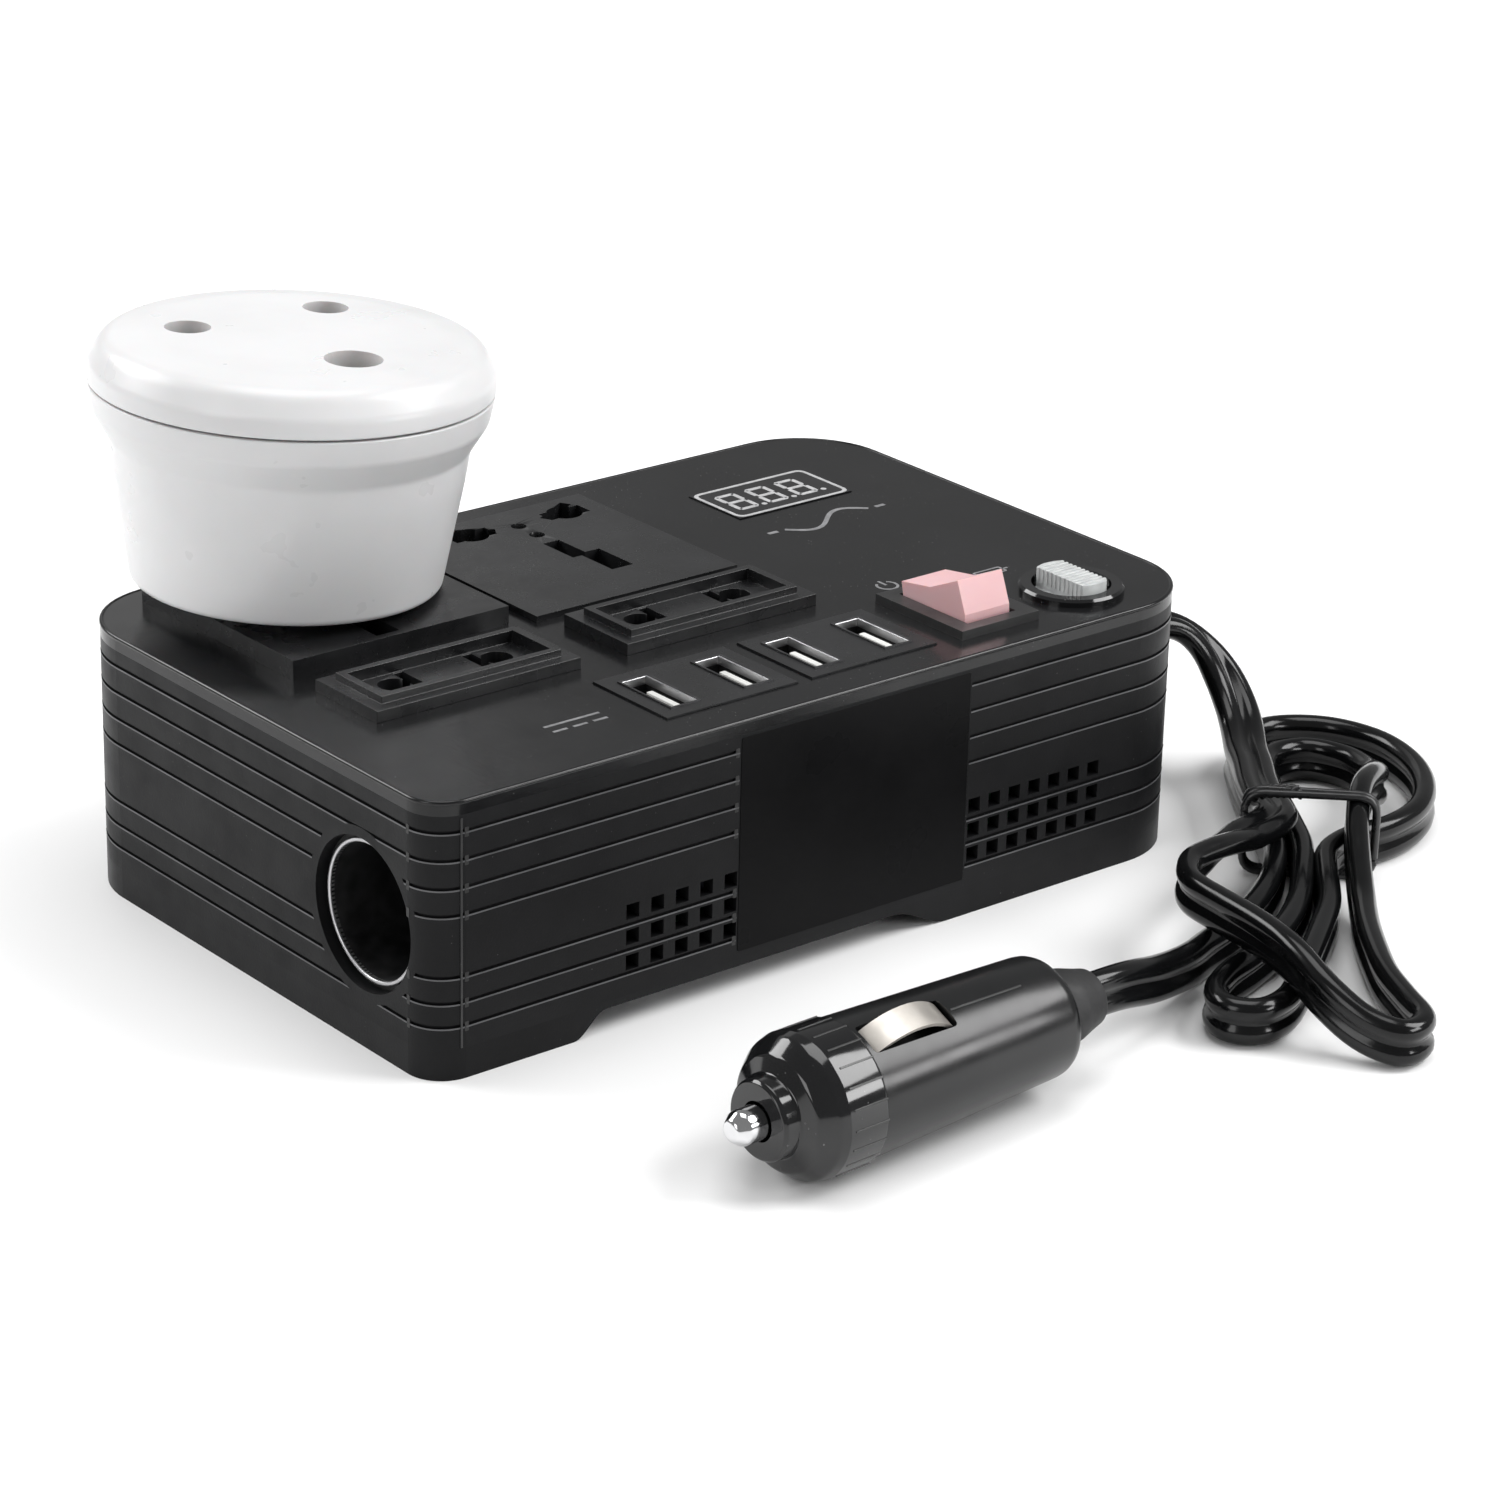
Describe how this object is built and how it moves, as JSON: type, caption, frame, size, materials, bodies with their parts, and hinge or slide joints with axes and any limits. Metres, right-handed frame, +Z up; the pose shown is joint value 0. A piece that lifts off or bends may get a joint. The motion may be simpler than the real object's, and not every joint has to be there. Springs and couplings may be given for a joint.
{
  "type": "power inverter",
  "caption": "Compact power inverter with two universal sockets, two-pin and USB outlets, digital display, rocker switch, plug adapter and a lead ending in a lighter plug",
  "frame": {"origin": "on the standing face, in the middle of the floor area that the case and its adapter cover, the lead and its plug left out", "axes": "+X along the long front edge towards the end with the lead, +Y from the front edge into the depth, +Z up"},
  "size_m": [0.2031, 0.1923, 0.0887],
  "materials": {
    "case": "satin, finely textured",
    "socket_plastic": "glossy moulded",
    "steel": "nickel plated",
    "brass": "plain stamped",
    "white_plastic": "semi-gloss moulded",
    "display_glass": "smooth tinted window",
    "board": "lacquered circuit board",
    "rocker_plastic": "translucent moulded",
    "glass_tube": "clear",
    "clear_plastic": "clear moulded, ribbed",
    "chrome": "bright",
    "ferrite": "dull sintered",
    "winding": "lacquered wire under tape",
    "capacitor_sleeve": "shrunk sleeve",
    "alloy": "sawn extrusion",
    "rubber": "matte",
    "cord_vinyl": "smooth soft vinyl"
  },
  "bodies": {
    "case": {"top_cover": "case", "upper_shell": "case", "lower_shell": "case", "bottom_cover": "case", "case_screws": "steel", "socket_a": "socket_plastic", "socket_b": "socket_plastic", "socket_contacts": "brass", "two_pin_sockets": "socket_plastic", "two_pin_contacts": "brass", "usb_blocks": "socket_plastic", "usb_shells": "steel", "usb_tongues": "white_plastic", "display_window": "display_glass", "display_module": "board", "switch_frame": "case", "switch_terminals": "brass", "fuse_holder": "case", "fuse": "glass_tube", "lighter_cup": "case", "lighter_sleeve": "chrome", "lighter_contact": "brass", "main_board": "board", "transformer_core": "ferrite", "transformer_winding": "winding", "choke": "winding", "capacitors": "capacitor_sleeve", "heat_sinks": "alloy", "transistors": "case", "fan_frame": "case", "cord_bush": "rubber", "cord_lead": "cord_vinyl", "cord_hank": "cord_vinyl", "cord_tail": "cord_vinyl", "cord_tie": "rubber", "plug_body": "case", "plug_cap": "socket_plastic", "plug_spring": "steel", "plug_fuse": "glass_tube", "plug_relief": "rubber"},
    "rocker": {"power_rocker": "rocker_plastic"},
    "cap": {"fuse_cap": "clear_plastic"},
    "adapter": {"adapter_base": "white_plastic", "adapter_cap": "white_plastic", "adapter_pins": "chrome", "adapter_contacts": "brass"},
    "rotor": {"fan_rotor": "case"},
    "tip": {"plug_tip": "chrome"},
    "upper_leaf": {"contact_upper": "steel"},
    "lower_leaf": {"contact_lower": "steel"}
  },
  "joints": [
    {"name": "power_rocker", "type": "hinge", "parent": "case", "child": "rocker", "pos_m": [0.036, -0.0393, 0.044], "axis": [1, 0, 0], "range_deg": [0, 34]},
    {"name": "fuse_cap_turn", "type": "hinge", "parent": "case", "child": "cap", "pos_m": [0.0573, -0.0426, 0.044], "axis": [0, 0, 1], "range_deg": [0, 90]},
    {"name": "adapter_pull", "type": "slide", "parent": "case", "child": "adapter", "axis": [0.0523, 0, 0.9986], "range_m": [0, 0.024]},
    {"name": "fan_spin", "type": "hinge", "parent": "case", "child": "rotor", "pos_m": [0.06915, 0.009, 0.0235], "axis": [1, 0, 0], "continuous": true},
    {"name": "plug_tip_press", "type": "slide", "parent": "case", "child": "tip", "axis": [0.9994, 0.0349, 0], "range_m": [0, 0.003], "stiffness_N_per_m": 400, "deforming": ["plug_spring"]},
    {"name": "contact_upper_press", "type": "slide", "parent": "case", "child": "upper_leaf", "axis": [-0.0148, 0.4224, -0.9063], "range_m": [0, 0.0012], "stiffness_N_per_m": 1500},
    {"name": "contact_lower_press", "type": "slide", "parent": "case", "child": "lower_leaf", "axis": [0.0148, -0.4224, 0.9063], "range_m": [0, 0.0012], "stiffness_N_per_m": 1500}
  ]
}
